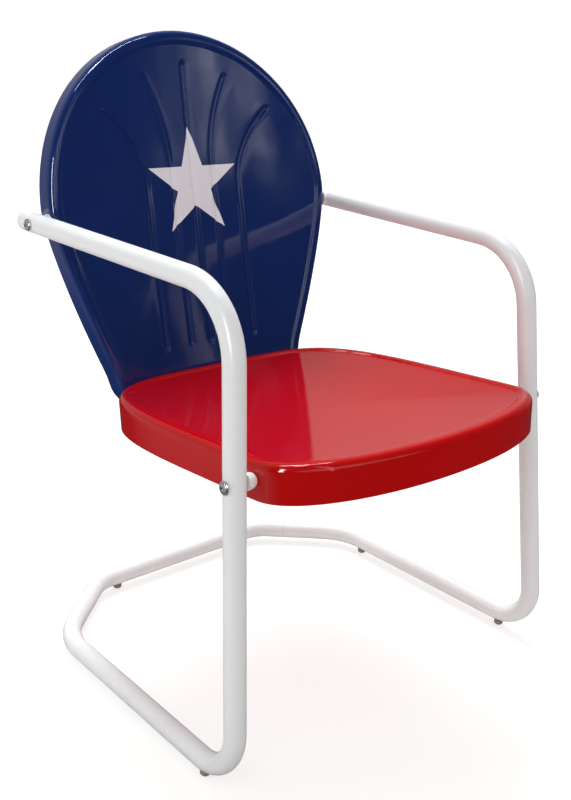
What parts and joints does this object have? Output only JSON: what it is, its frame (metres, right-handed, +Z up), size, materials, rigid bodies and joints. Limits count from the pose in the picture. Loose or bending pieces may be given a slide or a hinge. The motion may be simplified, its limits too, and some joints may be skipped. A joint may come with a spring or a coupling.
{
  "type": "metal lawn chair",
  "caption": "Cantilever armchair with a bent white tube frame, a dished red pressed-steel seat and a round-topped blue fluted back with a white star.",
  "frame": {"origin": "on the ground under the middle of the chair's bounding box", "axes": "+Z up, -Y the way the chair faces, +X towards the sitter's left"},
  "size_m": [0.619, 0.6342, 0.8887],
  "materials": {
    "white_enamel": "glossy white powder coat",
    "red_enamel": "high-gloss red baked enamel",
    "blue_enamel": "high-gloss dark blue baked enamel",
    "zinc": "bright zinc plated steel",
    "bare_steel": "bare drawn steel inside the tubes",
    "glide_plastic": "grey-brown moulded plastic",
    "white_plastic": "white moulded plastic"
  },
  "bodies": {
    "base": {"left_base_sleeve": "bare_steel", "left_foot_and_runner_tube": "white_enamel", "left_front_glide": "glide_plastic", "left_rear_glide": "glide_plastic", "rear_bar_glide": "glide_plastic", "rear_base_tube": "white_enamel", "right_base_sleeve": "bare_steel", "right_foot_and_runner_tube": "white_enamel", "right_front_glide": "glide_plastic"},
    "upper": {"back_shell": "blue_enamel", "left_arm_and_leg_tube": "white_enamel", "left_arm_bolt": "zinc", "left_arm_inner_washer": "zinc", "left_arm_nut": "zinc", "left_arm_plug": "white_plastic", "left_arm_washer": "zinc", "left_back_spacer": "white_enamel", "left_join_bolt": "zinc", "left_join_nut": "zinc", "left_join_washer": "zinc", "left_leg_bolt": "zinc", "left_leg_inner_washer": "zinc", "left_leg_nut": "zinc", "left_leg_washer": "zinc", "left_seat_bush": "white_plastic", "middle_join_bolt": "zinc", "middle_join_nut": "zinc", "middle_join_washer": "zinc", "right_arm_and_leg_tube": "white_enamel", "right_arm_bolt": "zinc", "right_arm_inner_washer": "zinc", "right_arm_nut": "zinc", "right_arm_plug": "white_plastic", "right_arm_washer": "zinc", "right_back_spacer": "white_enamel", "right_join_bolt": "zinc", "right_join_nut": "zinc", "right_join_washer": "zinc", "right_leg_bolt": "zinc", "right_leg_inner_washer": "zinc", "right_leg_nut": "zinc", "right_leg_washer": "zinc", "right_seat_bush": "white_plastic", "seat_shell": "red_enamel"}
  },
  "joints": [
    {"name": "frame_spring", "type": "hinge", "parent": "base", "child": "upper", "pos_m": [0, -0.2363, 0.04235], "axis": [-1, 0, 0], "range_deg": [-1.5, 4], "stiffness_Nm_per_rad": 3000, "springref_deg": -0.4}
  ]
}
